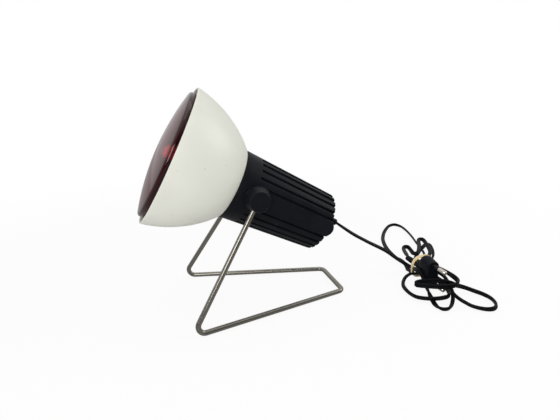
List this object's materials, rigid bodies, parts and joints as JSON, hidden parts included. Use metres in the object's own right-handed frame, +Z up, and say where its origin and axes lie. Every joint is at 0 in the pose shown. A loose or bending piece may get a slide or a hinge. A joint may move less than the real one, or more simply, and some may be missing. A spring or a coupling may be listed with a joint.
{
  "type": "infrared heat therapy lamp",
  "caption": "Table heat lamp: red reflector bulb in a cream bowl shade on a ribbed black housing, tilting between two knobs on a bent wire stand, with a tied mains cord.",
  "frame": {"origin": "on the table, under the middle of the lamp's own bounding box, without the free cord", "axes": "+Z up; the lamp shines towards -X; Y along the tilt axis, with the knob seen in the picture at -Y"},
  "size_m": [0.3708, 0.2535, 0.212],
  "materials": {
    "stand_wire": "satin drawn steel",
    "knob_plastic": "satin moulded black",
    "zinc_steel": "zinc plated",
    "housing_plastic": "matt moulded black with a fine grain",
    "brass": "drawn brass",
    "cover_plastic": "matt moulded black",
    "shade_enamel": "cream, satin",
    "ruby_glass": "clear ruby red, smooth outside and pebbled inside",
    "silvered_glass": "silvered inside",
    "black_glass": "glossy black",
    "solder": "solder",
    "clear_glass": "clear",
    "nickel_wire": "drawn nickel",
    "tungsten": "dull grey coil",
    "ceramic": "glazed porcelain",
    "brown_pvc": "satin",
    "blue_pvc": "satin",
    "relief_rubber": "matt",
    "cord_pvc": "satin vinyl",
    "tan_rubber": "matt natural rubber",
    "plug_rubber": "satin moulded vinyl",
    "nickel_plate": "nickel plated"
  },
  "bodies": {
    "stand": {"wire_stand": "stand_wire", "knob_near": "knob_plastic", "knob_far": "knob_plastic", "pivot_washers": "zinc_steel", "push_nuts": "zinc_steel", "cord_run": "cord_pvc", "hank_core": "cord_pvc", "hank_mid": "cord_pvc", "hank_far": "cord_pvc", "hank_left": "cord_pvc", "hank_front": "cord_pvc", "hank_right": "cord_pvc", "hank_band": "tan_rubber", "plug_body": "plug_rubber", "plug_pins": "nickel_plate", "plug_tail": "plug_rubber"},
    "head": {"housing": "housing_plastic", "pivot_bushes": "brass", "rear_cover": "cover_plastic", "rear_cover_screws": "zinc_steel", "shade": "shade_enamel", "shade_screws": "zinc_steel", "bulb_lens": "ruby_glass", "bulb_reflector": "silvered_glass", "bulb_collar": "brass", "bulb_cap": "brass", "bulb_insulator": "black_glass", "bulb_contact": "solder", "bulb_stem": "clear_glass", "filament_leads": "nickel_wire", "filament": "tungsten", "lampholder_body": "ceramic", "lampholder_sleeve": "brass", "lampholder_tongue": "brass", "lampholder_bracket": "zinc_steel", "bracket_screws": "zinc_steel", "holder_screws": "zinc_steel", "terminals": "brass", "terminal_screws": "zinc_steel", "lead_brown": "brown_pvc", "lead_blue": "blue_pvc", "cord_relief": "relief_rubber", "cord_tail": "cord_pvc", "cord_clamp": "cover_plastic", "clamp_screws": "zinc_steel"}
  },
  "joints": [
    {"name": "head_tilt", "type": "hinge", "parent": "stand", "child": "head", "pos_m": [0.0061, 0, 0.113], "axis": [0, 1, 0], "range_deg": [-45, 60]}
  ]
}
